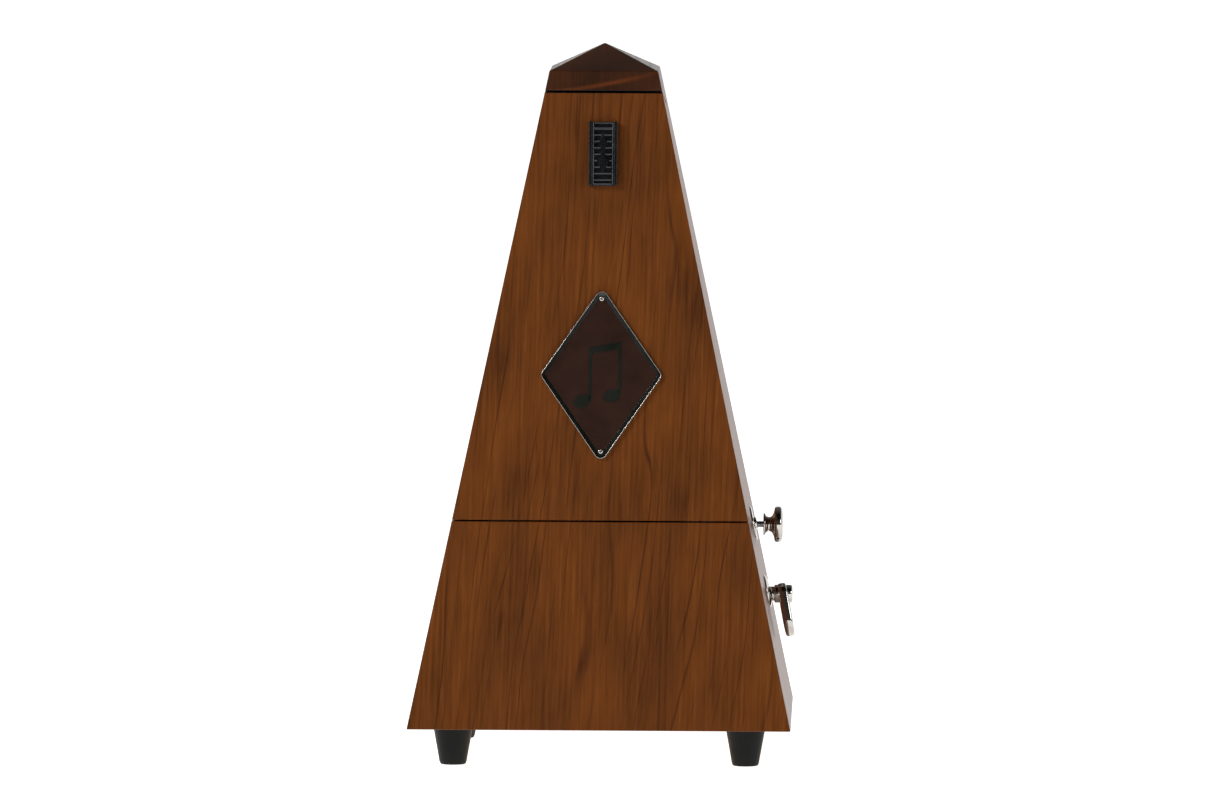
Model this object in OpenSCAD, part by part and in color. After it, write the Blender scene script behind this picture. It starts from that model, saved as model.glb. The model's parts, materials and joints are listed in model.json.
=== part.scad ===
// Wind-up pyramid metronome with a bell.
// The case stands on the XY plane, centred on the origin. Its door faces -Y and its key +X.

/* [Case] */
// Width and depth of the case at its foot
base_w = 116; // [115:0.5:117]
// Height of the feet under the case
foot_h = 11.7; // [11:0.1:12]
// Height of the seam between the door and the lower front panel
split_z = 74.1; // [73.8:0.1:74.4]
// Height of the seam under the cap
cap_z = 202.8; // [202:0.1:203.5]
// Height where the cap's sides turn into its roof
eave_z = 209.1; // [208.5:0.1:210]
// Height of the peak
apex_z = 217; // [215:0.5:220]
// How far each wall leans in for every millimetre it rises
wall_slope = 0.21; // [0.209:0.001:0.211]
// Thickness of the case walls
wall_t = 5; // [4.8:0.1:5.1]

/* [Door] */
// Depth of the door, from its face to the back edges of its cheeks
door_d = 17; // [16.8:0.1:17]
// Thickness of the door panel
door_t = 4; // [3.8:0.1:4]
// Thickness of the door's side cheeks
cheek_t = 3.6; // [3:0.1:3.8]
// Width of the seams above and below the door
seam = 0.5; // [0.4:0.05:0.6]
// Width of the nameplate
plate_w = 36.4; // [34:0.2:38]
// Height of the nameplate, measured up the door
plate_l = 51.2; // [48:0.2:54]
// Height of the latch, measured up the door
latch_l = 19.7; // [19:0.1:21]

/* [Key and knob] */
// How far behind the middle of the case the key and the bell knob stand
side_y = 4; // [3.9:0.1:4.1]
// Height of the winding key's axis
key_z = 48.4; // [48.2:0.1:48.6]
// Height of the bell knob's axis
knob_z = 69.7; // [69.5:0.1:69.9]
// Diameter of the bell knob's head
knob_d = 11.1; // [10:0.1:12]
// Tilt of the key's paddle from upright, in degrees
paddle_tilt = 10.5; // [8:0.5:12]

/* [Pendulum] */
// Depth of the pendulum rod behind the door's face
rod_d = 10.5; // [10.4:0.1:10.6]
// How far the pivot lies below the door's seam, measured along the face
pivot_drop = 9; // [8.9:0.1:9.1]
// Length of the rod above its pivot
rod_up = 130; // [126:1:131]
// Height of the tempo weight's middle above the pivot
weight_r = 86; // [70:1:100]
// Radius of the bob
bob_r = 12.5; // [11:0.1:12.5]

/* [Movement] */
// Number of turns in the mainspring
spring_turns = 8; // [5:1:9]
// Outer radius of the bell
bell_r = 14; // [13:0.1:14]

/* [Hidden] */
$fn = 64;
lean = atan(wall_slope);
fit = 0.04;
base_t = 5;
base_top = foot_h + base_t;
sill_z = split_z - seam / 2;
door_z0 = split_z + seam / 2;
neck_z = cap_z + seam / 2;
// Heights along the leaning face, measured up from the split line
neck_h = (neck_z - split_z) / cos(lean);
door_h = neck_h - seam;
latch_h = (184.05 - split_z) / cos(lean);
plate_h = (117.7 - split_z) / cos(lean);
cheek_drop = door_d * sin(3.9);
// The door fills the depth in front of these edges
edge_d = door_d + 0.3;
board_d = [18, 21];
batten_d = 28;
rod_w = 3.2;
rod_t = 0.9;
bob_drop = 33;
// Movement plates stand square to X, and the wheel arbors run along X
plate_x = 20;
plate_t = 1.5;
plate_y = [-22, 28];
plate_top = 73;
pivot_r = 0.8;
staff_r = 1;
axle_r = 2;
pull_r = 0.9;
// Arbor centres as [y, z]
function half(z) = base_w / 2 - wall_slope * (z - foot_h);
function face_point(d, h) = [-half(split_z) + d * cos(lean) + h * sin(lean),
                             split_z - d * sin(lean) + h * cos(lean)];
crown_t = 28;
key_c = [side_y, key_z];
knob_c = [side_y, knob_z];
crown_c = face_point(rod_d + crown_t, -pivot_drop);
great_teeth = 60;
great_m = 0.6;
second_teeth = 50;
second_m = 0.5;
leaves = 10;
// The lower crossing of two circles sets an arbor by its two centre distances
function circle_cross(a, ra, b, rb) =
    let (d = norm(b - a), u = (b - a) / d, s = (ra * ra - rb * rb + d * d) / (2 * d))
    a + s * u + sqrt(ra * ra - s * s) * [-u[1], u[0]];
second_c = circle_cross(key_c, (great_teeth + leaves) * great_m / 2,
                        crown_c, (second_teeth + leaves) * second_m / 2);
crown_teeth = 12;
crown_r = 9;
cams = [[-14.2, 12], [-12.2, 8], [-10.2, 6], [-8.2, 4]];
cam_r = 5;
pillar_c = [[-18.5, 24], [24, 24], [-18.5, 69], [24, 69]];
ratchet_r = 7;
click_c = [13, 56.4];
stop_c = [16.2, 62.2];
bell_c = [-12, 14];
bell_z = 77;
bell_h = 10;
hammer_x = -16.2;
foot_c = [44.3, 43];

function turn_angle(a, b) = atan2(b[1] - a[1], b[0] - a[0]);
function inv_deg(a) = tan(a) * 180 / PI - a;
function polar(r, a) = [r * cos(a), r * sin(a)];
function deep(d) = d / cos(lean);

// Front outline of the case between two heights, each side moved in by an inset
function tower(inset, z0, z1) = [[inset - half(z0), z0], [half(z0) - inset, z0],
                                 [half(z1) - inset, z1], [inset - half(z1), z1]];

// Strip that follows a leaning wall from inset a to inset b; s is -1 for front or left
function band(s, a, b, z0, z1) = [[s * (half(z0) - a), z0], [s * (half(z1) - a), z1],
                                  [s * (half(z1) - b), z1], [s * (half(z0) - b), z0]];

// Outline of a spur gear with its first tooth centred on angle 0
function gear_outline(n, m, add, ded = 1.1, slack = 0.12) =
    let (rp = n * m / 2, rb = rp * cos(20), rr = rp - ded * m, rt = rp + add * m,
         base_half = 90 / n - slack / rp * 90 / PI + inv_deg(20),
         radii = rr < rb ? [rr, rb, rp, rt] : [rr, rp, rt],
         flank = [for (r = radii) [r, base_half - (r > rb ? inv_deg(acos(rb / r)) : 0)]],
         last = len(flank) - 1)
    [for (i = [0:n - 1]) each concat(
        [for (j = [0:last]) polar(flank[j][0], i * 360 / n - flank[j][1])],
        [for (j = [0:last]) polar(flank[last - j][0], i * 360 / n + flank[last - j][1])])];

// Outline of the nameplate moved in by an inset smaller than its corner radius of 2
function lozenge(inset) =
    let (a = plate_w / 2 - 2, b = plate_l / 2 - 2, turn = atan2(a, b), r = 2 - inset,
         spans = [[[a, 0], -turn, turn], [[0, b], turn, 180 - turn],
                  [[-a, 0], 180 - turn, 180 + turn], [[0, -b], 180 + turn, 360 - turn]])
    [for (s = spans) each [for (k = [0:6]) s[0] + polar(r, s[1] + (s[2] - s[1]) * k / 6)]];

// Solid with one outline seen from the front and another seen from the side
module slab(xz, yz) {
    intersection() {
        translate([0, 70, 0]) rotate([90, 0, 0]) linear_extrude(140) polygon(xz);
        translate([-70, 0, 0]) rotate([90, 0, 90]) linear_extrude(140) polygon(yz);
    }
}

// Outline drawn in the YZ plane, pulled along X
module along_x(x0, length, c = [0, 0], turn = 0) {
    translate([x0, c[0], c[1]]) rotate([turn, 0, 0]) rotate([90, 0, 90])
        linear_extrude(length) children();
}

module rod_x(x0, length, r, c) {
    translate([x0, c[0], c[1]]) rotate([0, 90, 0]) cylinder(h = length, r = r);
}

// Profile of [x, r] steps turned about an arbor
module turned_x(c, profile) {
    translate([0, c[0], c[1]]) rotate([90, 0, 90]) rotate_extrude()
        polygon([for (p = profile) [p[1], p[0]]]);
}

// Local X stays X, local Y runs up the face and local Z points out of it
module on_face(h = 0) {
    translate([0, -half(split_z), split_z]) rotate([90 - lean, 0, 0]) translate([0, h, 0])
        children();
}

// Local Z points square out of the right-hand wall
module on_right(z) {
    translate([half(z), side_y, z]) rotate([0, 90 - lean, 0]) children();
}

module both_sides() {
    children();
    mirror([1, 0, 0]) children();
}

module wood() { color("sienna") children(); }
module pale_wood() { color("burlywood") children(); }
module bright() { color("silver") children(); }
module yellow() { color("goldenrod") children(); }
module steel() { color("slategray") children(); }

// ---- Case ----

// The side walls stop behind the door and reach forward again above it
function side_outline() = [
    [wall_t - half(foot_h), foot_h], [wall_t - half(sill_z), sill_z],
    [deep(edge_d) - half(sill_z), sill_z], face_point(edge_d, neck_h),
    face_point(0, neck_h), [half(neck_z) - wall_t, neck_z], [half(foot_h) - wall_t, foot_h]];

module back_panel() {
    wood() difference() {
        slab(tower(0, foot_h, neck_z), band(1, 0, wall_t, foot_h, neck_z));
        bell_bolts(0.01);
    }
}

module left_panel() {
    wood() slab(band(-1, 0, wall_t, foot_h, neck_z), side_outline());
}

module right_panel() {
    wood() difference() {
        slab(band(1, 0, wall_t, foot_h, neck_z), side_outline());
        rod_x(40, 20, axle_r + 0.6, key_c);
        rod_x(40, 20, pull_r + 0.5, knob_c);
    }
}

module lower_front_panel() {
    wood() slab(tower(0, foot_h, sill_z), band(-1, 0, wall_t, foot_h, sill_z));
}

module base_board() {
    pale_wood() difference() {
        slab(tower(wall_t, foot_h, base_top), tower(wall_t, foot_h, base_top));
        foot_bolts(0.01);
        floor_bolts(0.01);
    }
}

module top_cap() {
    roof = [[-half(neck_z), neck_z], [half(neck_z), neck_z], [half(eave_z), eave_z],
            [0, apex_z], [-half(eave_z), eave_z]];
    plug_z = 194;
    color("saddlebrown") difference() {
        union() {
            slab(roof, roof);
            slab(tower(wall_t + 0.1, plug_z, neck_z),
                 [[deep(21.6) - half(plug_z), plug_z], [half(plug_z) - wall_t - 0.1, plug_z],
                  [half(neck_z) - wall_t - 0.1, neck_z], [deep(21.6) - half(neck_z), neck_z]]);
        }
        on_face(neck_h) translate([-3, -1, -2.9]) cube([6, 6, 1.9]);
    }
}

// Corner blocks on the base board, and the battens that carry the scale board
module glue_blocks() {
    pale_wood() {
        difference() {
            slab(tower(wall_t, base_top, 30), tower(wall_t, base_top, 30));
            rotate([0, 0, 45]) cube([126, 126, 100], center = true);
        }
        both_sides() difference() {
            slab(band(1, wall_t, wall_t + 7, 76, 186),
                 band(-1, deep(board_d[1]), deep(batten_d), 76, 186));
            scale_bolts(0.01);
        }
    }
}

module foot_bolts(g = 0) {
    both_sides() for (s = [-1, 1]) translate([foot_c[0], s * foot_c[1], 0]) {
        translate([0, 0, 5]) cylinder(h = 2, r = 3.05 + g);
        translate([0, 0, 6.9]) cylinder(h = 9, r = 1.4 + g);
    }
}

module feet() {
    color([0.1, 0.1, 0.1]) difference() {
        both_sides() for (s = [-1, 1]) translate([foot_c[0], s * foot_c[1], 0])
            cylinder(h = foot_h, r1 = 4, r2 = 6.05);
        both_sides() for (s = [-1, 1]) translate([foot_c[0], s * foot_c[1], -1])
            cylinder(h = 6.1, r1 = 2.6, r2 = 3.2);
        foot_bolts(0.01);
    }
}

module foot_screws() {
    bright() difference() {
        foot_bolts();
        both_sides() for (s = [-1, 1]) translate([foot_c[0] - 2.5, s * foot_c[1] - 0.4, 4])
            cube([5, 0.8, 1.8]);
    }
}

module scale_board() {
    pale_wood() difference() {
        slab(tower(wall_t + 0.1, 68.5, 190),
             band(-1, deep(board_d[0]), deep(board_d[1]), 68.5, 190));
        scale_bolts(0.01);
    }
}

module scale_plate() {
    color("gainsboro") slab(tower(12, 75, 187), band(-1, deep(17.2), deep(18), 75, 187));
}

module scale_bolts(g = 0) {
    both_sides() for (z = [84, 178]) {
        h = (z - split_z) / cos(lean);
        on_face(h) translate([half(z) - 8.2, 0, -board_d[0]]) {
            cylinder(h = 0.6, r = 1.6 + g);
            translate([0, 0, -8]) cylinder(h = 8.1, r = 0.8 + g);
        }
    }
}

module scale_screws() { yellow() scale_bolts(); }

// Fork at the top of the scale, standing just behind the parked rod
module rod_clip() {
    bright() difference() {
        along_x(-2.6, 5.2) polygon([face_point(17.2, 110), face_point(16.6, 110),
            face_point(16.6, 118), face_point(11.5, 118), face_point(11.5, 118.6),
            face_point(17.2, 118.6)]);
        on_face(118.3) translate([-0.9, -2, -13.5]) cube([1.8, 4, 3]);
    }
}

// ---- Door ----

module door_panel() {
    wood() difference() {
        slab(tower(0, door_z0, 206),
             [[-half(door_z0), door_z0], [deep(door_t) - half(door_z0), door_z0],
              face_point(door_t, door_h), face_point(0, door_h)]);
        on_face(latch_h) {
            translate([-2.65, -6.3, -2.5]) cube([5.3, 40, 1.2]);
            translate([-1.05, -1.1, -1.4]) cube([2.1, 6.3, 3]);
        }
        tab_bolts(0.01);
        plate_bolts(0.01);
    }
}

module door_cheeks() {
    wood() both_sides()
        slab(band(1, 0, cheek_t, door_z0, 206),
             [[deep(door_t) - half(door_z0), door_z0], [deep(door_d) - half(door_z0), door_z0],
              face_point(door_d, door_h - cheek_drop), face_point(door_t, door_h)]);
}

// Hooks that hang below the door, behind the lower front panel
module door_tabs() {
    steel() difference() {
        both_sides() along_x(26, 8) polygon([
            face_point(door_t, 2.5), face_point(door_t, 15), face_point(6.6, 15),
            face_point(6.6, -5.5), face_point(5.4, -5.5), face_point(5.4, 2.5)]);
        tab_bolts(0.01);
    }
}

module tab_bolts(g = 0) {
    both_sides() for (h = [6, 11.5]) on_face(h) translate([30, 0, -7.4]) {
        cylinder(h = 0.8, r = 1.7 + g);
        cylinder(h = 6, r = 0.8 + g);
    }
}

module tab_screws() { steel() tab_bolts(); }

module nameplate() {
    bright() difference() {
        on_face(plate_h) difference() {
            linear_extrude(1.2) polygon(lozenge(0));
            translate([0, 0, 0.5]) linear_extrude(1) polygon(lozenge(1.5));
        }
        plate_bolts(0.01);
    }
}

module nameplate_field() {
    color([0.2, 0.12, 0.1]) difference() {
        on_face(plate_h) translate([0, 0, 0.5]) linear_extrude(0.4) polygon(lozenge(1.52));
        plate_bolts(0.01);
    }
}

module plate_bolts(g = 0) {
    for (s = [-1, 1]) on_face(plate_h + s * (plate_l / 2 - 2.25)) {
        translate([0, 0, -2.5]) cylinder(h = 3, r = 0.4 + g);
        translate([0, 0, 0.45]) cylinder(h = 1.15, r = 0.8 + g);
    }
}

module nameplate_pins() { bright() plate_bolts(); }

module latch_frame() {
    bright() on_face(latch_h) {
        difference() {
            translate([-4.36, -latch_l / 2, 0]) cube([8.72, latch_l, 0.5]);
            translate([-1.05, -1.1, -1]) cube([2.1, 6.3, 3]);
        }
        for (s = [-1, 1]) translate([s * 3.8 - 0.56, -latch_l / 2, 0.4]) cube([1.12, latch_l, 1.8]);
    }
}

module latch_slider() {
    ribs = 11;
    pitch = 1.75;
    bright() on_face(latch_h) difference() {
        translate([-3.15, -latch_l / 2 + 0.1, 0.55]) cube([6.3, latch_l - 0.2, 1.95]);
        for (i = [0:ribs - 1]) translate([-4, (i - (ribs - 1) / 2) * pitch, 2.5])
            rotate([90, 0, 90]) linear_extrude(8) polygon([[-0.6, 0.1], [0, -0.55], [0.6, 0.1]]);
        translate([0, 0, 1.8]) linear_extrude(1) polygon([
            [0, 7.6], [1.4, 4.9], [0.5, 4.9], [0.5, -4.9], [1.4, -4.9],
            [0, -7.6], [-1.4, -4.9], [-0.5, -4.9], [-0.5, 4.9], [-1.4, 4.9]]);
    }
}

module latch_bolt() {
    steel() on_face(latch_h) {
        translate([-2.5, -6, -2.4]) cube([5, door_h - latch_h + 5.6, 1]);
        translate([0, 0, -1.5]) cylinder(h = 2.05, r = 0.9);
    }
}

// ---- Right-hand wall ----

module knob_rosette() {
    bright() difference() {
        on_right(knob_z + 0.2) rotate_extrude()
            polygon([[0, 0], [5.25, 0], [5.1, 0.5], [1.85, 0.5], [1.7, 1.3], [0, 1.3]]);
        rod_x(40, 20, pull_r + 0.1, knob_c);
    }
}

module key_rosette() {
    bright() difference() {
        on_right(key_z + 0.7) rotate_extrude()
            polygon([[0, 0], [5.05, 0], [4.9, 0.35], [4.3, 0.7], [3.6, 0.95], [2.9, 1.1], [0, 1.1]]);
        rod_x(40, 20, axle_r + 0.65, key_c);
    }
}

module pull_knob() {
    r = knob_d / 2;
    bright() turned_x(knob_c, [[49, 0], [49, 3.2], [49.15, 3.4], [49.55, 3.4], [49.8, 3],
        [50.2, 2.45], [50.8, 2.2], [51.4, 2.4], [51.9, 3], [52.3, 3.9], [52.5, r - 0.7],
        [52.9, r - 0.15], [53.5, r], [53.9, r - 0.3], [54.4, r - 1.3], [54.9, r - 2.7],
        [55.2, r - 4.1], [55.3, 0]]);
}

// Rod with a groove for each bell setting, and two collars that hold the hammer
module pull_rod() {
    grooves = [for (i = [0:4]) 28 - 2 * i];
    steel() turned_x(knob_c, concat(
        [[-30, 0], [-30, pull_r], [-19.4, pull_r], [-19.4, 2], [-18.25, 2], [-18.25, pull_r],
         [-14.15, pull_r], [-14.15, 2], [-13.2, 2], [-13.2, pull_r]],
        [for (i = [4:-1:0]) each [[grooves[i] - 0.35, pull_r], [grooves[i], 0.6],
                                  [grooves[i] + 0.35, pull_r]]],
        [[48.98, pull_r], [48.98, 0]]));
}

// The tail stops just clear of the beat cams and the head just clear of the bell
module hammer() {
    aim = turn_angle(knob_c, crown_c);
    tail = norm(crown_c - knob_c) - cam_r - 0.5;
    head = [bell_c[1] - bell_r - 2.9, bell_z + 2];
    reach = norm(head - knob_c);
    rise = turn_angle(knob_c, head);
    yellow() difference() {
        union() {
            rod_x(hammer_x - 2, 4, 2.6, knob_c);
            along_x(hammer_x - 0.6, 1.2, knob_c, aim) translate([0, -0.6]) square([tail, 1.2]);
            along_x(hammer_x - 0.6, 1.2, knob_c, rise) translate([0, -0.7]) square([reach, 1.4]);
            rod_x(hammer_x - 1.6, 3.2, 2.2, head);
        }
        rod_x(hammer_x - 3, 6, pull_r + fit, knob_c);
    }
}

// ---- Movement frame ----

module plate_outline(margin) {
    difference() {
        translate([plate_y[0], base_top]) square([plate_y[1] - plate_y[0], plate_top - base_top]);
        translate([plate_y[0] - 1, base_top + 7]) polygon([[0, 5], [0, 3], [5, 3], [7, 5], [7, 6], [5, 8], [0, 8]]);
        translate([4, 26]) circle(margin);
    }
}

module left_plate() {
    yellow() difference() {
        union() {
            along_x(-plate_x - plate_t, plate_t) plate_outline(4);
            translate([-plate_x - 11, plate_y[0], base_top])
                cube([11, plate_y[1] - plate_y[0], plate_t]);
        }
        for (c = [key_c, second_c, crown_c]) rod_x(-30, 20, pivot_r + fit, c);
        rod_x(-40, 30, pull_r + fit, knob_c);
        for (c = pillar_c) rod_x(-30, 20, 1.22, c);
        bracket_bolts(0.01);
        floor_bolts(0.01);
    }
}

module right_plate() {
    yellow() difference() {
        union() {
            along_x(plate_x, plate_t) plate_outline(4);
            translate([plate_x, plate_y[0], base_top])
                cube([11, plate_y[1] - plate_y[0], plate_t]);
        }
        rod_x(10, 20, axle_r + fit, key_c);
        rod_x(10, 20, pivot_r + fit, second_c);
        rod_x(10, 20, pull_r + fit, knob_c);
        for (c = pillar_c) rod_x(10, 20, 1.22, c);
        bracket_bolts(0.01);
        floor_bolts(0.01);
    }
}

module pillars() {
    steel() for (c = pillar_c) {
        rod_x(-plate_x, 2 * plate_x, 2, c);
        rod_x(-plate_x - 3, 2 * plate_x + 6, 1.2, c);
    }
}

module pillar_nuts() {
    yellow() both_sides() for (c = pillar_c) difference() {
        along_x(plate_x + plate_t, 1.6, c) circle(2.8, $fn = 6);
        rod_x(plate_x, 6, 1.22, c);
    }
}

module floor_bolts(g = 0) {
    both_sides() for (y = [-16, 22]) translate([27, y, 0]) {
        translate([0, 0, base_top + plate_t]) cylinder(h = 1.4, r = 2.3 + g);
        translate([0, 0, 12.8]) cylinder(h = 6, r = 1.1 + g);
    }
}

module movement_screws() {
    steel() difference() {
        floor_bolts();
        both_sides() for (y = [-16, 22]) translate([24, y - 0.3, base_top + plate_t + 0.8])
            cube([6, 0.6, 2]);
    }
}

// Bar across the front of the plates that carries the verge staff's front end
module front_bridge() {
    yellow() difference() {
        on_face(-pivot_drop) {
            translate([-23, -4, -20.5]) cube([46, 8, 1.5]);
            both_sides() translate([21.5, -4, -31]) cube([1.5, 8, 11]);
        }
        on_face(-pivot_drop) translate([0, 0, -25]) cylinder(h = 10, r = staff_r + fit);
        bracket_bolts(0.01);
    }
}

module rear_cock() {
    yellow() difference() {
        on_face(-pivot_drop) {
            translate([-20, -3.2, -56.5]) cube([22.6, 6.4, 1.5]);
            translate([-20, -3.2, -56]) cube([1.5, 6.4, 9]);
        }
        on_face(-pivot_drop) translate([0, 0, -60]) cylinder(h = 10, r = staff_r + fit);
        bracket_bolts(0.01);
    }
}

// Bar that hangs from a pillar and carries the crown wheel's right-hand pivot
module potence() {
    aim = turn_angle(crown_c, pillar_c[2]);
    reach = norm(pillar_c[2] - crown_c);
    yellow() difference() {
        along_x(-3.1, 1.5, crown_c, aim) {
            translate([0, -2.4]) square([reach, 4.8]);
            circle(2.4);
            translate([reach, 0]) circle(3.6);
        }
        rod_x(-5, 5, 2.01, pillar_c[2]);
        rod_x(-5, 5, pivot_r + fit, crown_c);
    }
}

// Screws of the bridge, the cock and the detent spring, with the click's pin and its stop
module bracket_bolts(g = 0) {
    both_sides() {
        rod_x(plate_x, 4.2, 0.9 + g, face_point(28.5, -pivot_drop));
        rod_x(plate_x + 3, 1.2, 1.8 + g, face_point(28.5, -pivot_drop));
    }
    rod_x(-22.7, 1.2, 1.8 + g, face_point(50, -pivot_drop));
    rod_x(-22.7, 4.2, 0.9 + g, face_point(50, -pivot_drop));
    rod_x(plate_x, 3, 0.8 + g, [side_y, 63]);
    rod_x(22.3, 0.9, 1.6 + g, [side_y, 63]);
    rod_x(plate_x, 6.2, 1 + g, click_c);
    rod_x(plate_x + plate_t, 0.9, 1.8 + g, click_c);
    rod_x(26.2, 0.9, 1.8 + g, click_c);
    rod_x(plate_x, 5.4, 0.7 + g, stop_c);
}

module bracket_screws() { steel() bracket_bolts(); }

module detent_spring() {
    z = knob_z - pull_r;
    steel() difference() {
        translate([0, side_y + 1.5, 0]) rotate([90, 0, 0]) linear_extrude(3)
            polygon([[21.5, 60.5], [22.3, 60.5], [22.3, z - 2.6], [27, z - 1.9], [28, z - 1],
                     [28.9, z - 1.9], [31, z - 1.7], [31, z - 1.2], [29.1, z - 1.4],
                     [28, z - 0.4], [26.9, z - 1.4], [21.5, z - 2.1]]);
        bracket_bolts(0.01);
    }
}

// ---- Winding ----

module winding_arbor() {
    left = -plate_x + 0.3;
    steel() turned_x(key_c, [[-21.5, 0], [-21.5, pivot_r], [left, pivot_r], [left, axle_r],
                             [55.5, axle_r], [55.5, 0]]);
}

module winding_key() {
    eye = 3.4;
    bulge = 5.2;
    drop = 8.1;
    side = acos((eye - bulge) / drop);
    bright() difference() {
        union() {
            turned_x(key_c, [[51, 0], [51, 2.2], [52.5, 2.2], [52.5, 2.8], [57.7, 2.8],
                             [58.1, 2.4], [58.1, 0]]);
            translate([55.2, key_c[0], key_c[1]]) rotate([0, -paddle_tilt, 0])
                rotate([-90, 0, 90]) translate([0, 0, -1.6]) linear_extrude(3.2) {
                    circle(eye);
                    translate([0, drop]) circle(bulge);
                    polygon([polar(eye, 90 - side), [0, drop] + polar(bulge, 90 - side),
                             [0, drop] + polar(bulge, 90 + side), polar(eye, 90 + side)]);
                }
        }
        rod_x(50, 5.51, axle_r + 0.01, key_c);
    }
}

module ratchet_wheel() {
    teeth = 24;
    steel() difference() {
        along_x(22.6, 1.5, key_c) polygon([for (i = [0:teeth - 1]) each
            [polar(ratchet_r, i * 360 / teeth), polar(ratchet_r - 0.9, (i + 0.15) * 360 / teeth)]]);
        rod_x(20, 6, axle_r + 0.01, key_c);
    }
}

// Pawl whose nose rests just above the ratchet's teeth
module click() {
    nose = key_c + polar(ratchet_r + 0.35, 96);
    aim = turn_angle(click_c, nose);
    reach = norm(nose - click_c);
    steel() difference() {
        along_x(22.6, 1.5, click_c, aim) {
            circle(2.1);
            polygon([[0, -2], [reach * 0.6, -1.6], [reach, -0.9], [reach, 0], [reach * 0.7, 0.3],
                     [0, 1.8]]);
        }
        rod_x(20, 6, 1 + fit, click_c);
    }
}

module click_spring() {
    steel() {
        for (x = [24.5, 25.15, 25.8]) translate([x, click_c[0], click_c[1]])
            rotate([0, 90, 0]) rotate_extrude() translate([1.5, 0]) circle(0.3);
        along_x(24.2, 0.6, click_c, 176) translate([0, -1.8]) square([7, 0.6]);
        along_x(25.5, 0.6, click_c, 45) translate([0, -1.8]) square([6.5, 0.6]);
    }
}

// ---- Going train ----

module barrel() {
    yellow() difference() {
        rod_x(4.7, 12.5, 16.5, key_c);
        rod_x(5.9, 20, 15.4, key_c);
        rod_x(0, 20, axle_r + fit, key_c);
    }
}

module barrel_cover() {
    yellow() difference() {
        rod_x(17.2, 1.2, 16.5, key_c);
        rod_x(10, 10, axle_r + fit, key_c);
        for (a = [0:60:300]) rod_x(16, 4, 1.6, key_c + polar(9.5, a));
    }
}

module great_wheel() {
    yellow() difference() {
        along_x(3.2, 1.5, key_c, turn_angle(key_c, second_c))
            polygon(gear_outline(great_teeth, great_m, 0.6));
        rod_x(0, 8, axle_r + fit, key_c);
    }
}

// Ribbon wound from the barrel's wall in to its arbor
module mainspring() {
    steps = 16 * spring_turns;
    function coil(t, i) = polar(2.6 + t + (14.6 - 2.6) * i / steps, i * 360 * spring_turns / steps);
    steel() along_x(6.5, 10, key_c) polygon(concat(
        [for (i = [0:steps]) coil(0, i)], [for (i = [steps:-1:0]) coil(0.5, i)]));
}

module second_arbor() {
    w = plate_x - 0.3;
    steel() {
        turned_x(second_c, [[-21.5, 0], [-21.5, pivot_r], [-w, pivot_r], [-w, 1.3], [w, 1.3],
                            [w, pivot_r], [21.5, pivot_r], [21.5, 0]]);
        along_x(2.5, 2.9, second_c, turn_angle(second_c, key_c) + 180 / leaves)
            polygon(gear_outline(leaves, great_m, 0.9));
    }
}

module second_wheel() {
    yellow() difference() {
        along_x(-17.8, 1.5, second_c, turn_angle(second_c, crown_c))
            polygon(gear_outline(second_teeth, second_m, 0.6));
        rod_x(-20, 6, 1.31, second_c);
        for (a = [36:72:324]) rod_x(-20, 6, 2.7, second_c + polar(7, a));
    }
}

module escape_arbor() {
    steel() {
        turned_x(crown_c, [[-21.5, 0], [-21.5, pivot_r], [-19.7, pivot_r], [-19.7, 1.3],
                           [-3.4, 1.3], [-3.4, pivot_r], [-1.6, pivot_r], [-1.6, 0]]);
        along_x(-18.7, 3.3, crown_c, turn_angle(crown_c, second_c) + 180 / leaves)
            polygon(gear_outline(leaves, second_m, 0.9));
    }
}

module crown_wheel() {
    pitch = 2 * PI * crown_r / crown_teeth;
    yellow() difference() {
        rod_x(-7, 3.4, crown_r + 0.4, crown_c);
        rod_x(-6.1, 4, crown_r - 0.5, crown_c);
        rod_x(-8, 6, 1.31, crown_c);
        for (a = [45:90:315]) rod_x(-8, 4, 2, crown_c + polar(5, a));
        for (i = [0:crown_teeth - 1]) translate([0, crown_c[0], crown_c[1]])
            rotate([i * 360 / crown_teeth, 0, 0]) translate([0, 0, crown_r - 3]) linear_extrude(6)
                polygon([[-3.5, 0.25], [-5.8, 0.7], [-3.5, pitch - 0.3]]);
    }
}

// One cam for each bell setting, on a common sleeve
module beat_cams() {
    yellow() difference() {
        union() {
            rod_x(-14.9, 7.3, 2.2, crown_c);
            for (c = cams) along_x(c[0] - 0.6, 1.2, crown_c)
                polygon([for (i = [0:c[1] - 1]) each
                    [polar(cam_r, i * 360 / c[1]), polar(cam_r, i * 360 / c[1] + 5),
                     polar(cam_r - 1.1, i * 360 / c[1] + 9), polar(cam_r - 1.1, (i + 0.5) * 360 / c[1]),
                     polar(cam_r - 1.1, (i + 1) * 360 / c[1] - 4)]]);
        }
        rod_x(-16, 10, 1.31, crown_c);
    }
}

// ---- Pendulum ----

// Staff with two flags that stand just clear of the crown wheel's teeth
module verge_staff() {
    steel() on_face(-pivot_drop) {
        translate([0, 0, -rod_d - 46.3]) cylinder(h = 45.7, r = staff_r);
        for (s = [-1, 1]) translate([0, 0, -rod_d - crown_t + s * crown_r - 1.5])
            rotate([0, 0, 180 + s * 48]) translate([0.5, -0.4, 0]) cube([2.5, 0.8, 3]);
    }
}

module rod_slot(g = 0) {
    on_face() translate([-rod_w / 2 - g, -60, -rod_d - rod_t / 2 - g])
        cube([rod_w + 2 * g, 260, rod_t + 2 * g]);
}

module pendulum_hub() {
    yellow() difference() {
        on_face(-pivot_drop) translate([0, 0, -13.5]) cylinder(h = 4.7, r = 3.6);
        rod_slot(0.01);
        on_face(-pivot_drop) translate([0, 0, -14]) cylinder(h = 3, r = staff_r + 0.01);
    }
}

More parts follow.
